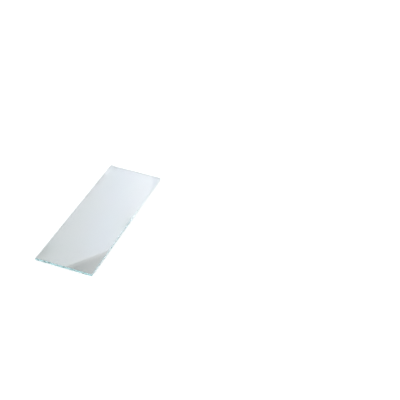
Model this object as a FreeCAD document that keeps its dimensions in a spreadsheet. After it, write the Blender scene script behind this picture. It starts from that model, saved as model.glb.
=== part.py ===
import FreeCAD, Part
import Sketcher
import os

# A plain microscope slide: one sheet of clear glass, scored on its upper side and snapped to size.
# The origin is at the middle of the underside. +X runs along the slide, and +Z points up, out of
# the scored side. All sizes are in millimetres.

DRIVING_SIZES = (
    ("slide_length", 76.0, "long side of the standard slide"),
    ("slide_width", 26.0, "short side of the standard slide"),
    ("glass_thickness", 1.0, "thickness of the drawn sheet"),
    ("score_width", 0.03, "how far the cutter's mark runs in from the edge"),
    ("score_depth", 0.06, "how far the cutter's mark runs down the edge"),
)


def make_sheet(doc):
    """The spreadsheet of driving sizes, one alias to a row."""
    sheet = doc.addObject("Spreadsheet::Sheet", "Sizes")
    for row, (alias, value, note) in enumerate(DRIVING_SIZES, start=1):
        sheet.set(f"A{row}", alias)
        sheet.set(f"B{row}", str(value))
        sheet.set(f"C{row}", note)
        sheet.setAlias(f"B{row}", alias)
    doc.recompute()
    return sheet


def origin_plane(body, role):
    """One of the body's own origin planes."""
    return next(item for item in body.Origin.OriginFeatures if item.Role == role)


def top_face(shape):
    """The face whose middle is highest, with its name."""
    heights = [face.CenterOfMass.z for face in shape.Faces]
    index = heights.index(max(heights))
    return shape.Faces[index], f"Face{index + 1}"


def add_centred_rectangle(sketch, sheet, length, width):
    """A closed rectangle with its middle on the sketch's origin, sized by two of the sheet's cells."""
    half_x = getattr(sheet, length) / 2
    half_y = getattr(sheet, width) / 2
    corners = [(-half_x, -half_y), (half_x, -half_y), (half_x, half_y), (-half_x, half_y)]
    points = [FreeCAD.Vector(x, y, 0) for x, y in corners]
    front, right, back, left = range(4)
    for side in (front, right, back, left):
        sketch.addGeometry(Part.LineSegment(points[side], points[(side + 1) % 4]), False)
    for side in (front, right, back, left):
        sketch.addConstraint(Sketcher.Constraint("Coincident", side, 2, (side + 1) % 4, 1))
    for side in (front, back):
        sketch.addConstraint(Sketcher.Constraint("Horizontal", side))
    for side in (right, left):
        sketch.addConstraint(Sketcher.Constraint("Vertical", side))
    sketch.addConstraint(Sketcher.Constraint("Symmetric", front, 1, back, 1, -1, 1))
    along = sketch.addConstraint(Sketcher.Constraint("DistanceX", front, 1, front, 2, 2 * half_x))
    across = sketch.addConstraint(Sketcher.Constraint("DistanceY", right, 1, right, 2, 2 * half_y))
    for index, name in ((along, length), (across, width)):
        sketch.renameConstraint(index, name)
        sketch.setExpression(f"Constraints.{name}", f"{sheet.Name}.{name}")


def make_glass_slide(doc, sheet):
    """The slide: a flat blank with square snapped walls and a fine cutter's mark round its top."""
    body = doc.addObject("PartDesign::Body", "GlassSlide")
    body.Label = "glass_slide"
    body.Placement = FreeCAD.Placement()

    outline = body.newObject("Sketcher::SketchObject", "Outline")
    outline.AttachmentSupport = [(origin_plane(body, "XY_Plane"), "")]
    outline.MapMode = "FlatFace"
    add_centred_rectangle(outline, sheet, "slide_length", "slide_width")

    blank = body.newObject("PartDesign::Pad", "Blank")
    blank.Profile = outline
    blank.setExpression("Length", f"{sheet.Name}.glass_thickness")
    doc.recompute()

    mark = body.newObject("PartDesign::Chamfer", "ScoreMark")
    mark.Base = (blank, [top_face(blank.Shape)[1]])
    mark.ChamferType = "Two distances"
    mark.setExpression("Size", f"{sheet.Name}.score_depth")
    mark.setExpression("Size2", f"{sheet.Name}.score_width")
    body.Tip = mark
    doc.recompute()
    return body


def check_sketches(doc):
    """Stops the build if a sketch isn't fully constrained."""
    for sketch in doc.findObjects("Sketcher::SketchObject"):
        if sketch.solve() != 0 or not sketch.FullyConstrained:
            raise RuntimeError(f"{sketch.Name} isn't fully constrained")


def check_bodies(doc, bodies):
    """Stops the build if any object failed or any body isn't one valid solid."""
    for item in doc.Objects:
        if {"Invalid", "Error"} & set(item.State):
            raise RuntimeError(f"{item.Name} failed: {item.State}")
    for body in bodies:
        shape = body.Shape
        if shape.isNull() or not shape.isValid() or len(shape.Solids) != 1:
            raise RuntimeError(f"{body.Label} isn't one valid solid")


def check_score_mark(sheet, body):
    """Stops the build if the cutter's mark isn't as wide and as deep as the sheet says."""
    plateau = top_face(body.Shape)[0].BoundBox
    wide = (body.Shape.BoundBox.XLength - plateau.XLength) / 2
    deep = plateau.ZMax - sorted({round(v.Z, 4) for v in body.Shape.Vertexes})[-2]
    if abs(wide - sheet.score_width) > 1e-4 or abs(deep - sheet.score_depth) > 1e-4:
        raise RuntimeError(f"the cutter's mark is {wide} wide and {deep} deep")


def main():
    doc = FreeCAD.newDocument("MicroscopeSlide")
    sheet = make_sheet(doc)
    slide = make_glass_slide(doc, sheet)
    check_sketches(doc)
    check_bodies(doc, [slide])
    check_score_mark(sheet, slide)
    os.makedirs("parts", exist_ok=True)
    slide.Shape.exportStep(f"parts/{slide.Label}.step")
    print(slide.Label, slide.Shape.BoundBox, "volume", round(slide.Shape.Volume, 3), "mm3")


main()
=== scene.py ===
import math
import random

import bpy
from mathutils import Matrix, Vector, noise


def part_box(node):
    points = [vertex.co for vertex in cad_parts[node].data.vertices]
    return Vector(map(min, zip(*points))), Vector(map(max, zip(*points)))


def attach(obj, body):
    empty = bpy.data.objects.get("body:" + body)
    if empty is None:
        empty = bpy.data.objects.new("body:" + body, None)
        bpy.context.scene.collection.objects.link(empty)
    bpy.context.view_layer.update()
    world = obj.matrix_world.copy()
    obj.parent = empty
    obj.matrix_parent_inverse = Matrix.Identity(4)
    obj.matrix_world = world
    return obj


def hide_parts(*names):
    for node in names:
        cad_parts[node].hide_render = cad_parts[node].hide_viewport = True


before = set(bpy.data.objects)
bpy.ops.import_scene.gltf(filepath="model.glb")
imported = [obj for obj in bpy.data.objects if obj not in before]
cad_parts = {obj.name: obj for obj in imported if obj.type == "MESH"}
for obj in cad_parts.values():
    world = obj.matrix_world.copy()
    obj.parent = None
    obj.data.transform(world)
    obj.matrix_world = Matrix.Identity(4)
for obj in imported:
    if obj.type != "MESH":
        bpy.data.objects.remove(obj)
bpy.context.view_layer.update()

# A plain microscope slide of clear glass with snapped edges, lying on a white table. Its top face reflects
# a tall soft panel. Two fill panels, a low grey band, one soft lamp and a white world do the rest.
#
# Lengths are in metres unless a name ends in _MM or the words beside it say millimetres. The slide's sides
# are numbered counter-clockwise: 0 is the -y side, 1 is +x, 2 is +y and 3 is -x. A place along a side runs
# the same way round, from minus to plus half of its length. A level runs from 0 at the underside to 1 at
# the top face.

MM = 0.001
NODE = "glass_slide"
low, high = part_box(NODE)
LENGTH_MM, WIDTH_MM, THICK_MM = (high - low) / MM
SIDE_LENGTHS_MM = (LENGTH_MM, WIDTH_MM, LENGTH_MM, WIDTH_MM)

# The mesh: columns of points run round the slide, ring above ring, and turn in over both faces. A coarser
# grid of cells fills what is left of the faces, with CELL_COLUMNS columns to the side of a cell.
PITCH_MM = 0.125
CELL_COLUMNS = 8
WALL_LEVELS = (0, 0.04, 0.10, 0.20, 0.33, 0.47, 0.60, 0.72, 0.82, 0.89, 0.94, 0.97, 1.0)
FACE_INSETS_MM = (0.06, 0.15, 0.28, 0.45, 0.70, 1.05, 1.55, 2.3, 3.4)
SHARP_ANGLE = math.radians(35)

# How the slide was snapped, side by side: how much further in the wall's foot stands than its top, and
# how rough the break is at the side's start and at its end.
OVERHANG_MM = (-0.012, 0.060, 0.03, 0.012)
WALL_ROUGHNESS = ((0.30, 0.04), (0.10, 0.30), (0.10, 0.40), (0.5, 0.5))

# On this side the foot goes in further still between these two places along it, and stays so.
FLARE_SIDE = 0
FLARE_MM = 0.28
FLARE_FROM_MM, FLARE_TO_MM = 1.5, 13.0

# The break on this side runs out past its line at the side's end.
SPUR_SIDE = 1
SPUR_MM = 0.40
SPUR_FROM_MM = 9.0

# The walls' unevenness: height and size of the bumps in millimetres, and which layer of the noise. It dies
# out on the faces at RELIEF_FADE_MM from the edge.
WANDER_MM = (0.025, 11, 1)
SMALL_WANDER_MM = (0.020, 3.1, 2)
TWIST_MM = (0.08, 3.6, 3)
COCKLE_MM = (0.010, 0.8, 4)
RELIEF_FADE_MM = 1.05

# Fine upright ribs in the walls, which bend along the side on their way up and come and go.
RIB_MM = 0.016
RIB_PITCH_MM = 0.62
RIB_BEND_MM = 0.5
RIB_DRIFT_MM = (0.6, 2.0, 5)
RIB_STRENGTH = 0.8
RIB_STRENGTH_CHANGE = (0.6, 4.0, 6)

# The torn strip under the cutter's mark: the level where it starts and how it grows from there, the depth
# of its teeth everywhere, and how much deeper they are where the glass tore.
HACKLE_FROM = 0.86
HACKLE_POWER = 1.5
HACKLE_MM = 0.02
TORN_MM = 0.07
TORN_PLACES = (1, 0.55, 8)
TORN_MORE = 0.1
TEETH = (1, 0.16, 9)
TEETH_RISE = 3

# The faint ripple that drawing the sheet left in its faces.
TOP_RIPPLE_MM = (0.0015, 18, 11)
UNDER_RIPPLE_MM = (0.0012, 20, 12)

# The cutter's mark along the top edge.
SCORE_WIDTH_MM = 0.03
SCORE_DEPTH_MM = 0.06

# Shell-shaped chips that show: side, place along it in millimetres, level, and radius in millimetres.
SEEN_CHIPS = (
    (3, -11.6, 0.50, 0.26),
    (3, -8.6, 0.45, 0.31),
    (3, -6.8, 0.60, 0.32),
    (3, 0.2, 0.55, 0.32),
    (3, 8.9, 0.35, 0.30),
    (0, -30.7, 0.5, 0.38),
    (0, -26.5, 0.5, 0.34),
    (0, -18.6, 0.6, 0.38),
    (0, -11.1, 0.5, 0.34),
    (0, -3.6, 0.5, 0.38),
    (0, -1.6, 0.6, 0.36),
    (0, 0.5, 0.5, 0.36),
    (0, 2.4, 0.5, 0.36),
    (1, 10.4, 1.0, 0.30),
    (2, -29.6, 1.0, 0.30),
    (2, -22.6, 1.0, 0.45),
)

# Small chips along the top and bottom edges: how far apart they are on average, how far from the side's
# middle they may be, as a share of its length, and their least and greatest radius at a roughness of 1.
SMALL_CHIP_PITCH_MM = 4.5
SMALL_CHIP_REACH = 0.48
SMALL_CHIP_RADII_MM = (0.24, 0.90)
SMALL_CHIP_SEED = 11

# A chip is scooped out by an ellipsoid: how many times as wide as high that is, and how far out of the
# glass its centre is, as a share of its radius.
CHIP_STRETCH = 1.4
CHIP_OUT = 0.35

# Steps that keep the layers of the noise, and its rows for the four sides, far from each other.
LAYER_STEP = 7.3
ROW_STEP = 40.0


# ---------------------------------------------------------------- the slide's true surface

def ripple(x, y, scale, layer):
    """Smooth noise of about -1 to 1 whose bumps are scale millimetres apart."""
    return noise.noise(Vector((x / scale, y / scale, LAYER_STEP * layer)))


def bump(kind, x, y):
    """The height of that kind of unevenness at a place."""
    height, scale, layer = kind
    return height * ripple(x, y, scale, layer)


def roughness(side, along):
    """How rough the break is there. It changes evenly from the side's start to its end."""
    start, end = WALL_ROUGHNESS[side]
    return start + (end - start) * (along / SIDE_LENGTHS_MM[side] + 0.5)


def overhang(side, along):
    """How much further in the wall's foot stands than its top, in millimetres."""
    run = (along - FLARE_FROM_MM) / (FLARE_TO_MM - FLARE_FROM_MM)
    flare = FLARE_MM * min(1.0, max(0.0, run)) if side == FLARE_SIDE else 0.0
    return OVERHANG_MM[side] + flare


def spur(side, along):
    """How far the break runs out past its line, in millimetres."""
    run = max(0.0, (along - SPUR_FROM_MM) / (SIDE_LENGTHS_MM[SPUR_SIDE] / 2 - SPUR_FROM_MM))
    return SPUR_MM * run * run * (3 - 2 * run) if side == SPUR_SIDE else 0.0


def wall_relief(side, along, level):
    """How far the snapped wall stands out of its true plane, in millimetres."""
    row = ROW_STEP * side
    rough = roughness(side, along)
    wander = bump(WANDER_MM, along, row) + rough * bump(SMALL_WANDER_MM, along, row)
    lean = (level - 1) * overhang(side, along)
    twist = (level - 0.5) * rough * bump(TWIST_MM, along, row)
    cockle = rough * bump(COCKLE_MM, along, row + level)
    place = along + RIB_BEND_MM * level * level + bump(RIB_DRIFT_MM, along, row)
    strength = rough * (RIB_STRENGTH + bump(RIB_STRENGTH_CHANGE, along, row))
    rib = RIB_MM * strength * math.sin(2 * math.pi * place / RIB_PITCH_MM)
    return wander + spur(side, along) + lean + twist + cockle + rib


def hackle(side, along, level):
    """How deep the torn strip under the cutter's mark is, in millimetres."""
    row = ROW_STEP * side
    strip = max(0.0, (level - HACKLE_FROM) / (1 - HACKLE_FROM))
    torn = roughness(side, along) * max(0.0, bump(TORN_PLACES, along, row) + TORN_MORE)
    teeth = abs(bump(TEETH, along, row + TEETH_RISE * level))
    return strip ** HACKLE_POWER * teeth * (HACKLE_MM + TORN_MM * torn)


def score_bevel(level):
    """How far in the cutter's mark leaves the edge at that level, in millimetres."""
    above = (level - 1) * THICK_MM + SCORE_DEPTH_MM
    return SCORE_WIDTH_MM * max(0.0, above / SCORE_DEPTH_MM)


def chip(side, along, level, radius):
    """Centre and radii of a chip, in millimetres. On an edge, the centre is over or under the glass too."""
    wide = CHIP_STRETCH * radius
    out = CHIP_OUT * radius
    half = SIDE_LENGTHS_MM[side - 1] / 2 + out
    x, y = ((along, -half), (half, along), (-along, half), (-half, -along))[side]
    up = 0 if 0 < level < 1 else out * (2 * level - 1)
    return Vector((x, y, THICK_MM * level + up)), Vector((wide, wide, radius))


def chips():
    """The chips that show, and small ones here and there, about two in three of them at the bottom."""
    draw = random.Random(SMALL_CHIP_SEED)
    made = [chip(*row) for row in SEEN_CHIPS]
    for side, length in enumerate(SIDE_LENGTHS_MM):
        for _ in range(round(length / SMALL_CHIP_PITCH_MM)):
            along = draw.uniform(-SMALL_CHIP_REACH, SMALL_CHIP_REACH) * length
            radius = draw.uniform(*SMALL_CHIP_RADII_MM) * roughness(side, along)
            made.append(chip(side, along, draw.choice((0, 0, 1)), radius))
    return made


def scooped(point, shells):
    """The point, pushed out of any chip that it lies in."""
    for centre, radii in shells:
        away = point - centre
        if abs(away.x) > radii.x or abs(away.y) > radii.y or abs(away.z) > radii.z:
            continue
        reach = math.sqrt(sum((a / r) ** 2 for a, r in zip(away, radii)))
        if 0 < reach < 1:
            point = centre + away / reach
    return point


def finished(x, y, level, shells):
    """A point of the slide at that level between its faces, with all its unevenness, in metres."""
    bottom = bump(UNDER_RIPPLE_MM, x, y)
    top = THICK_MM + bump(TOP_RIPPLE_MM, x, y)
    return scooped(Vector((x, y, bottom + (top - bottom) * level)), shells) * MM


# ---------------------------------------------------------------- the slide's mesh

def ring(inset, level, columns, shells):
    """One closed ring of points, counter-clockwise from the corner at -x, -y."""
    half_x, half_y = LENGTH_MM / 2, WIDTH_MM / 2
    corners = [Vector((x * half_x, y * half_y)) for x, y in ((-1, -1), (1, -1), (1, 1), (-1, 1))]
    outward = [Vector(n) for n in ((0, -1), (1, 0), (0, 1), (-1, 0))]
    fade = max(0.0, 1 - inset / RELIEF_FADE_MM) ** 2
    points = []
    for side in range(4):
        start, end = corners[side], corners[(side + 1) % 4]
        count = columns[side % 2]
        for column in range(count):
            base = start.lerp(end, column / count)
            shift = Vector((0, 0))
            # A corner belongs to the side before it too.
            sides = (side, (side - 1) % 4) if column == 0 else (side,)
            for near in sides:
                along = (base - corners[near]).length - SIDE_LENGTHS_MM[near] / 2
                move = wall_relief(near, along, level) - hackle(near, along, level)
                shift += outward[near] * (move - score_bevel(level))
            inner = Vector((base.x * (1 - inset / half_x), base.y * (1 - inset / half_y)))
            place = inner + shift * fade
            points.append(finished(place.x, place.y, level, shells))
    return points


def add_plate(points, faces, outer, cells_x, cells_y, level, shells):
    """Fills the ring that starts at point outer with cells, which take in its points at the border."""
    count = 2 * CELL_COLUMNS * (cells_x + cells_y)
    corner_a, corner_b = points[outer], points[outer + count // 2]
    grid = {}
    for i in range(cells_x + 1):
        grid[i, 0] = outer + CELL_COLUMNS * i
        grid[i, cells_y] = outer + CELL_COLUMNS * (2 * cells_x + cells_y - i)
    for j in range(1, cells_y):
        grid[cells_x, j] = outer + CELL_COLUMNS * (cells_x + j)
        grid[0, j] = outer + CELL_COLUMNS * (2 * cells_x + 2 * cells_y - j)
    for i in range(1, cells_x):
        for j in range(1, cells_y):
            x = (corner_a.x + (corner_b.x - corner_a.x) * i / cells_x) / MM
            y = (corner_a.y + (corner_b.y - corner_a.y) * j / cells_y) / MM
            grid[i, j] = len(points)
            points.append(finished(x, y, level, shells))

    def run(a, b):
        """From a up to b, with the ring's own points between them if both are on it, side by side."""
        on_ring = outer <= a < outer + count and outer <= b < outer + count
        if on_ring and (b - a) % count == CELL_COLUMNS:
            return [outer + (a - outer + k) % count for k in range(CELL_COLUMNS)]
        return [a]

    for i in range(cells_x):
        for j in range(cells_y):
            loop = [grid[i, j], grid[i + 1, j], grid[i + 1, j + 1], grid[i, j + 1]]
            face = []
            for k in range(4):
                face += run(loop[k], loop[(k + 1) % 4])
            faces.append(face if level else face[::-1])


def slide_mesh():
    """The whole slide, from the middle of the underside round the walls to the middle of the top face."""
    cells_x = round(LENGTH_MM / PITCH_MM / CELL_COLUMNS)
    cells_y = round(WIDTH_MM / PITCH_MM / CELL_COLUMNS)
    columns = (cells_x * CELL_COLUMNS, cells_y * CELL_COLUMNS)
    count = 2 * sum(columns)
    shells = chips()
    stack = [(inset, 0) for inset in reversed(FACE_INSETS_MM)]
    stack += [(0, level) for level in WALL_LEVELS]
    stack += [(inset, 1) for inset in FACE_INSETS_MM]
    points, faces = [], []
    for inset, level in stack:
        points += ring(inset, level, columns, shells)
    for row in range(len(stack) - 1):
        for k in range(count):
            a, b = row * count + k, row * count + (k + 1) % count
            faces.append((a, b, b + count, a + count))
    add_plate(points, faces, 0, cells_x, cells_y, 0, shells)
    add_plate(points, faces, (len(stack) - 1) * count, cells_x, cells_y, 1, shells)
    mesh = bpy.data.meshes.new("slide_glass")
    mesh.from_pydata(points, [], faces)
    mesh.shade_smooth()
    mesh.set_sharp_from_angle(angle=SHARP_ANGLE)
    return mesh


# ---------------------------------------------------------------- materials

GLASS_IOR = 1.52
GLASS_TINT = (0.24, 0.55, 0.57, 1)
GLASS_DENSITY = 16.5


def new_tree(owner):
    """The empty node tree of a material or world."""
    owner.use_nodes = True
    owner.node_tree.nodes.clear()
    return owner.node_tree


def glass():
    """Soda-lime glass: clear across its thickness, blue-green along its length."""
    material = bpy.data.materials.new("clear_glass")
    tree = new_tree(material)
    surface = tree.nodes.new("ShaderNodeBsdfPrincipled")
    surface.inputs["Base Color"].default_value = (1, 1, 1, 1)
    surface.inputs["Transmission Weight"].default_value = 1.0
    surface.inputs["IOR"].default_value = GLASS_IOR
    surface.inputs["Roughness"].default_value = 0.0
    inside = tree.nodes.new("ShaderNodeVolumeAbsorption")
    inside.inputs["Color"].default_value = GLASS_TINT
    inside.inputs["Density"].default_value = GLASS_DENSITY
    out = tree.nodes.new("ShaderNodeOutputMaterial")
    tree.links.new(surface.outputs["BSDF"], out.inputs["Surface"])
    tree.links.new(inside.outputs["Volume"], out.inputs["Volume"])
    return material


def make_slide():
    """The slide, in place of its CAD solid."""
    mesh = slide_mesh()
    mesh.materials.append(glass())
    piece = bpy.data.objects.new("slide_glass", mesh)
    bpy.context.scene.collection.objects.link(piece)
    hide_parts(NODE)
    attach(piece, "root")


# ---------------------------------------------------------------- studio: helpers

def seen(tree):
    """A socket that is 1 for what the camera, a reflection or the glass shows, and 0 for other light."""
    path = tree.nodes.new("ShaderNodeLightPath")
    value = path.outputs["Is Camera Ray"]
    for name in ("Is Glossy Ray", "Is Transmission Ray"):
        most = tree.nodes.new("ShaderNodeMath")
        most.operation = "MAXIMUM"
        tree.links.new(value, most.inputs[0])
        tree.links.new(path.outputs[name], most.inputs[1])
        value = most.outputs[0]
    return value


def add_stage(name, points, faces, material):
    """A part of the studio, in metres."""
    mesh = bpy.data.meshes.new(name)
    mesh.from_pydata(points, [], faces)
    mesh.materials.append(material)
    thing = bpy.data.objects.new(name, mesh)
    bpy.context.scene.collection.objects.link(thing)
    return thing


# ---------------------------------------------------------------- studio: floor

# The render lets no light through the glass onto the floor, so the floor glows a little where it is seen.
FLOOR_HALF = 3.0
FLOOR_GAP = 0.01 * MM
FLOOR_COLOUR = (0.80, 0.80, 0.80, 1)
FLOOR_GLOW = 0.43
GLOW_COLOUR = (0.93, 1, 1, 1)


def make_floor():
    """The white table, just clear of the slide's underside."""
    material = bpy.data.materials.new("floor")
    tree = new_tree(material)
    diffuse = tree.nodes.new("ShaderNodeBsdfDiffuse")
    diffuse.inputs["Color"].default_value = FLOOR_COLOUR
    glow = tree.nodes.new("ShaderNodeEmission")
    glow.inputs["Color"].default_value = GLOW_COLOUR
    scale = tree.nodes.new("ShaderNodeMath")
    scale.operation = "MULTIPLY"
    scale.inputs[1].default_value = FLOOR_GLOW
    tree.links.new(seen(tree), scale.inputs[0])
    tree.links.new(scale.outputs[0], glow.inputs["Strength"])
    both = tree.nodes.new("ShaderNodeAddShader")
    out = tree.nodes.new("ShaderNodeOutputMaterial")
    tree.links.new(diffuse.outputs[0], both.inputs[0])
    tree.links.new(glow.outputs[0], both.inputs[1])
    tree.links.new(both.outputs[0], out.inputs["Surface"])
    z = low.z - FLOOR_GAP
    corners = [(x * FLOOR_HALF, y * FLOOR_HALF, z) for x, y in ((-1, -1), (1, -1), (1, 1), (-1, 1))]
    add_stage("floor", corners, [(0, 1, 2, 3)], material)


# ---------------------------------------------------------------- studio: panels

# A panel's own x runs to the left as seen from the slide, and its z runs up from the table. Its light fades
# along one direction, between two places on it. A stop is a share of the way and the light's colour there.
PANEL_AWAY = 0.70
BRIGHTEST = 5.0
UPWARD = (0, 0, 1)
SLANT = (-1, 0, 0.28)

# Slow clouds shift the fade a little, and finer ones tint it.
CLOUD_SCALE = 16
CLOUD_SHIFT = 0.03
MOTTLE_SCALE = 30
MOTTLE = 0.08

# The tall soft panel. It stands a little askew, and its top edge shows across the slide's near corner.
PANEL_TURN = math.radians(58.25)
PANEL_TILT = -0.05
PANEL_TOP = 0.6941
PANEL_END = -0.5555
PANEL_SPAN = (PANEL_END, 0.2)
PANEL_FADE = (0.505, 0.717)
PANEL_STOPS = (
    (0.0, (2.00, 2.15, 2.10)),
    (0.2, (2.35, 2.50, 2.55)),
    (0.4, (2.75, 2.85, 3.00)),
    (0.7, (3.20, 3.40, 3.80)),
    (1.0, (3.90, 4.05, 4.35)),
)

# Soft spots on it: x, z, radius, and the share of the light that their middle gives. Over 1 is brighter.
PANEL_SHADES = (
    (-0.344, 0.662, 0.018, 0.72),
    (-0.346, 0.657, 0.038, 0.92),
    (-0.333, 0.669, 0.009, 0.85),
    (-0.509, 0.682, 0.018, 0.57),
    (-0.502, 0.668, 0.045, 0.95),
    (-0.482, 0.553, 0.006, 0.42),
    (-0.464, 0.555, 0.010, 1.50),
    (-0.460, 0.559, 0.005, 0.80),
    (-0.447, 0.570, 0.009, 0.78),
    (-0.428, 0.585, 0.010, 0.82),
)

# Its foot, the slightly brighter hem under its top edge, the darker lip on that edge and the part above,
# and the strip past its end.
FOOT_RISE = (0.22, 0.36)
FOOT_STOPS = ((0, (1.8, 1.85, 2.0)), (0.7, (1.8, 1.85, 2.0)), (1, (2.0, 2.1, 2.1)))
HEM_HEIGHT = 0.004
HEM_TINT = (1.05, 1.04, 1.00)
HEM_STOPS = tuple((at, tuple(t * c for t, c in zip(HEM_TINT, colour))) for at, colour in PANEL_STOPS)
LIP_HEIGHT = 0.0072
LIP_SPAN = (-0.50, -0.35)
LIP_FADE = (0.600, 0.680)
LIP_STOPS = ((0, (1.35, 1.35, 1.35)), (0.35, (2.05, 2.00, 2.05)), (1, (2.35, 2.30, 2.40)))
ABOVE_HEIGHT = 0.05
ABOVE_STOPS = ((0, (0.60, 0.60, 0.60)), (0.25, (1.10, 1.10, 1.10)), (1, (1.80, 1.75, 1.80)))
STRIP_WIDTH = 0.03
STRIP_START = 0.25
STRIP_STOPS = ((0, (3.20, 3.40, 3.80)), (1, (3.25, 3.45, 3.85)))

# The panels on the other sides, which the walls show.
FILL_RISE = (0.05, 0.72)
FILL_FADE = (0.05, 0.65)
LEFT_TURN = math.radians(150)
LEFT_SPAN = (-0.30, 0.45)
LEFT_STOPS = ((0, (1.2, 1.25, 1.3)), (0.65, (1.5, 1.55, 1.6)), (0.8, (3.0, 3.1, 3.2)), (1, (3.0, 3.05, 3.1)))
RIGHT_TURN = math.radians(-45)
RIGHT_SPAN = (-0.35, 0.42)
RIGHT_STOPS = ((0, (1.1, 1.15, 1.15)), (1, (2.15, 2.15, 2.2)))

# The low grey band all round.
BAND_AWAY = 0.60
BAND_HIGH = 0.20
BAND_COLUMNS = 64
BAND_STOPS = ((0, (0.45, 0.48, 0.50)), (0.4, (0.70, 0.73, 0.75)), (1, (1.0, 1.0, 1.0)))


def clouds(tree, place, scale):
    """Noise over the panel. It has a value, Fac, and a colour, Color."""
    cloud = tree.nodes.new("ShaderNodeTexNoise")
    cloud.inputs["Scale"].default_value = scale
    tree.links.new(place, cloud.inputs["Vector"])
    return cloud.outputs


def faded(tree, place, axis, fade, stops):
    """The stops' colours, as a share of BRIGHTEST, along axis between the two places of the fade."""
    across = tree.nodes.new("ShaderNodeVectorMath")
    across.operation = "DOT_PRODUCT"
    across.inputs[1].default_value = axis
    shift = tree.nodes.new("ShaderNodeMath")
    shift.operation = "MULTIPLY_ADD"
    shift.inputs[1].default_value = CLOUD_SHIFT
    way = tree.nodes.new("ShaderNodeMapRange")
    way.inputs["From Min"].default_value = fade[0] + CLOUD_SHIFT / 2
    way.inputs["From Max"].default_value = fade[1] + CLOUD_SHIFT / 2
    ramp = tree.nodes.new("ShaderNodeValToRGB")
    knobs = ramp.color_ramp.elements
    while len(knobs) < len(stops):
        knobs.new(0.5)
    for knob, (at, colour) in zip(knobs, stops):
        knob.position = at
        knob.color = (*(c / BRIGHTEST for c in colour), 1)
    tree.links.new(place, across.inputs[0])
    tree.links.new(clouds(tree, place, CLOUD_SCALE)["Fac"], shift.inputs[0])
    tree.links.new(across.outputs["Value"], shift.inputs[2])
    tree.links.new(shift.outputs[0], way.inputs["Value"])
    tree.links.new(way.outputs[0], ramp.inputs["Fac"])
    return ramp.outputs["Color"]


def mottled(tree, place, colour):
    """The colour, tinted a little by clouds."""
    tint = tree.nodes.new("ShaderNodeVectorMath")
    tint.operation = "MULTIPLY_ADD"
    tint.inputs[1].default_value = [MOTTLE] * 3
    tint.inputs[2].default_value = [1 - MOTTLE / 2] * 3
    tinted = tree.nodes.new("ShaderNodeVectorMath")
    tinted.operation = "MULTIPLY"
    tree.links.new(clouds(tree, place, MOTTLE_SCALE)["Color"], tint.inputs[0])
    tree.links.new(colour, tinted.inputs[0])
    tree.links.new(tint.outputs[0], tinted.inputs[1])
    return tinted.outputs[0]


def shaded(tree, place, colour, shade):
    """The colour with a soft spot in it."""
    x, z, radius, left = shade
    away = tree.nodes.new("ShaderNodeVectorMath")
    away.operation = "DISTANCE"
    away.inputs[1].default_value = (x, 0, z)
    spot = tree.nodes.new("ShaderNodeMapRange")
    spot.interpolation_type = "SMOOTHSTEP"
    spot.inputs["From Max"].default_value = radius
    spot.inputs["To Min"].default_value = left
    weaker = tree.nodes.new("ShaderNodeVectorMath")
    weaker.operation = "SCALE"
    tree.links.new(place, away.inputs[0])
    tree.links.new(away.outputs["Value"], spot.inputs["Value"])
    tree.links.new(colour, weaker.inputs[0])
    tree.links.new(spot.outputs[0], weaker.inputs["Scale"])
    return weaker.outputs[0]


def panel_light(name, axis, fade, stops, shades=()):
    """A panel's material. It glows, and takes on no light from elsewhere."""
    material = bpy.data.materials.new(name)
    tree = new_tree(material)
    place = tree.nodes.new("ShaderNodeTexCoord").outputs["Object"]
    colour = mottled(tree, place, faded(tree, place, axis, fade, stops))
    for shade in shades:
        colour = shaded(tree, place, colour, shade)
    glow = tree.nodes.new("ShaderNodeEmission")
    glow.inputs["Strength"].default_value = BRIGHTEST
    out = tree.nodes.new("ShaderNodeOutputMaterial")
    tree.links.new(colour, glow.inputs["Color"])
    tree.links.new(glow.outputs[0], out.inputs["Surface"])
    return material


def add_panel(name, turn, span, rise, material, tilt=0):
    """An upright panel, PANEL_AWAY from the slide's middle. It spans x and rises in z, in its own axes."""
    flat = ((span[0], rise[0]), (span[1], rise[0]), (span[1], rise[1]), (span[0], rise[1]))
    panel = add_stage(name, [(x, 0, z + tilt * x) for x, z in flat], [(0, 1, 2, 3)], material)
    out = Vector((math.cos(turn), math.sin(turn), 0)) * PANEL_AWAY
    panel.matrix_world = Matrix.Translation(out) @ Matrix.Rotation(turn + math.pi / 2, 4, "Z")
    panel.visible_camera = False


def make_tall_panel():
    """The tall soft panel and what is fixed to it."""
    hem_start = PANEL_TOP - HEM_HEIGHT
    lip_end = PANEL_TOP + LIP_HEIGHT
    strip_span = (PANEL_END - STRIP_WIDTH, PANEL_END)
    parts = (
        ("panel_foot", PANEL_SPAN, FOOT_RISE, UPWARD, FOOT_RISE, FOOT_STOPS, ()),
        ("soft_panel", PANEL_SPAN, (FOOT_RISE[1], hem_start), SLANT, PANEL_FADE, PANEL_STOPS, PANEL_SHADES),
        ("panel_hem", PANEL_SPAN, (hem_start, PANEL_TOP), SLANT, PANEL_FADE, HEM_STOPS, ()),
        ("panel_lip", LIP_SPAN, (PANEL_TOP, lip_end), SLANT, LIP_FADE, LIP_STOPS, ()),
        ("panel_above", LIP_SPAN, (lip_end, lip_end + ABOVE_HEIGHT), SLANT, LIP_FADE, ABOVE_STOPS, ()),
        ("panel_strip", strip_span, (STRIP_START, PANEL_TOP), SLANT, PANEL_FADE, STRIP_STOPS, ()),
    )
    for name, span, rise, axis, fade, stops, shades in parts:
        add_panel(name, PANEL_TURN, span, rise, panel_light(name, axis, fade, stops, shades), PANEL_TILT)


def make_fills():
    """The two fill panels."""
    fills = (
        ("left_fill", LEFT_TURN, LEFT_SPAN, LEFT_STOPS),
        ("right_fill", RIGHT_TURN, RIGHT_SPAN, RIGHT_STOPS),
    )
    for name, turn, span, stops in fills:
        add_panel(name, turn, span, FILL_RISE, panel_light(name, UPWARD, FILL_FADE, stops))


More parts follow.
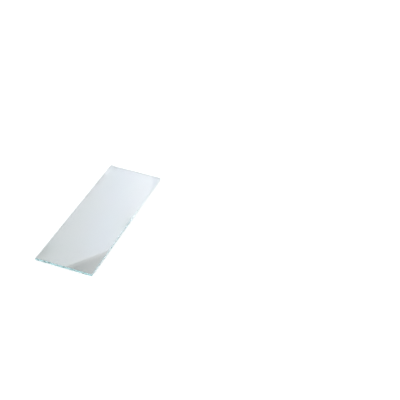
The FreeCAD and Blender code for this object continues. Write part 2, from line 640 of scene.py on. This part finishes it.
def make_band():
    """The low band, which only reflections and the glass show."""
    points = []
    for z in (low.z, BAND_HIGH):
        for k in range(BAND_COLUMNS):
            turn = 2 * math.pi * k / BAND_COLUMNS
            points.append((BAND_AWAY * math.cos(turn), BAND_AWAY * math.sin(turn), z))
    faces = []
    for k in range(BAND_COLUMNS):
        after = (k + 1) % BAND_COLUMNS
        faces.append((k, after, after + BAND_COLUMNS, k + BAND_COLUMNS))
    band = add_stage("low_band", points, faces, panel_light("low_band", UPWARD, (0, BAND_HIGH), BAND_STOPS))
    band.visible_camera = False
    band.visible_diffuse = False


# ---------------------------------------------------------------- studio: lamp and world

LAMP_SIZE = 1.0
LAMP_POWER = 4.0
LAMP_AWAY = 1.2
LAMP_TURN = math.radians(-100)
LAMP_HIGH = math.radians(55)
WORLD_LIGHT = 0.60
WORLD_SEEN = 1.0


def on_sphere(distance, azimuth, elevation):
    """A place at that distance from the origin."""
    flat = distance * math.cos(elevation)
    return Vector((flat * math.cos(azimuth), flat * math.sin(azimuth), distance * math.sin(elevation)))


def make_lamp():
    """The broad soft light from the -y side, which no reflection shows."""
    data = bpy.data.lights.new("soft_lamp", "AREA")
    data.shape = "DISK"
    data.size = LAMP_SIZE
    data.energy = LAMP_POWER
    lamp = bpy.data.objects.new("soft_lamp", data)
    bpy.context.scene.collection.objects.link(lamp)
    lamp.location = on_sphere(LAMP_AWAY, LAMP_TURN, LAMP_HIGH)
    lamp.rotation_euler = (-lamp.location).to_track_quat("-Z", "Y").to_euler()
    lamp.visible_camera = False
    lamp.visible_glossy = False
    lamp.visible_transmission = False


def make_world():
    """White where it is seen, and dimmer as a light."""
    world = bpy.data.worlds.new("studio")
    bpy.context.scene.world = world
    tree = new_tree(world)
    back = tree.nodes.new("ShaderNodeBackground")
    back.inputs["Color"].default_value = (1, 1, 1, 1)
    mix = tree.nodes.new("ShaderNodeMix")
    mix.inputs["A"].default_value = WORLD_LIGHT
    mix.inputs["B"].default_value = WORLD_SEEN
    tree.links.new(seen(tree), mix.inputs["Factor"])
    tree.links.new(mix.outputs["Result"], back.inputs["Strength"])
    out = tree.nodes.new("ShaderNodeOutputWorld")
    tree.links.new(back.outputs[0], out.inputs["Surface"])


# ---------------------------------------------------------------- camera and settings

CAMERA_LENS_MM = 79.02
CAMERA_SENSOR_MM = 36.0
CAMERA_CLIP = 0.01
CAMERA_AWAY = 0.39634
CAMERA_TURN = math.radians(-154.77)
CAMERA_HIGH = math.radians(37.47)
CAMERA_AIM = (0.03037, -0.03584, 0)
CAMERA_ROLL = math.radians(4.083)

# A ray that goes along inside the sheet meets its faces very many times.
MOST_BOUNCES = 128


def make_camera():
    """The camera, which looks along the slide from its -x, -y corner."""
    data = bpy.data.cameras.new("camera")
    data.lens = CAMERA_LENS_MM
    data.sensor_width = CAMERA_SENSOR_MM
    data.clip_start = CAMERA_CLIP
    camera = bpy.data.objects.new("camera", data)
    bpy.context.scene.collection.objects.link(camera)
    place = on_sphere(CAMERA_AWAY, CAMERA_TURN, CAMERA_HIGH)
    turn = (Vector(CAMERA_AIM) - place).to_track_quat("-Z", "Y").to_matrix()
    turn = turn @ Matrix.Rotation(CAMERA_ROLL, 3, "Z")
    camera.matrix_world = Matrix.Translation(place) @ turn.to_4x4()
    bpy.context.scene.camera = camera


def set_up_scene():
    """Plain colours, and light paths long enough for glass."""
    scene = bpy.context.scene
    scene.view_settings.view_transform = "Standard"
    scene.cycles.max_bounces = MOST_BOUNCES
    scene.cycles.transmission_bounces = MOST_BOUNCES
    scene.cycles.glossy_bounces = MOST_BOUNCES
    scene.cycles.caustics_refractive = False
    scene.cycles.caustics_reflective = False


set_up_scene()
make_slide()
make_floor()
make_tall_panel()
make_fills()
make_band()
make_lamp()
make_world()
make_camera()
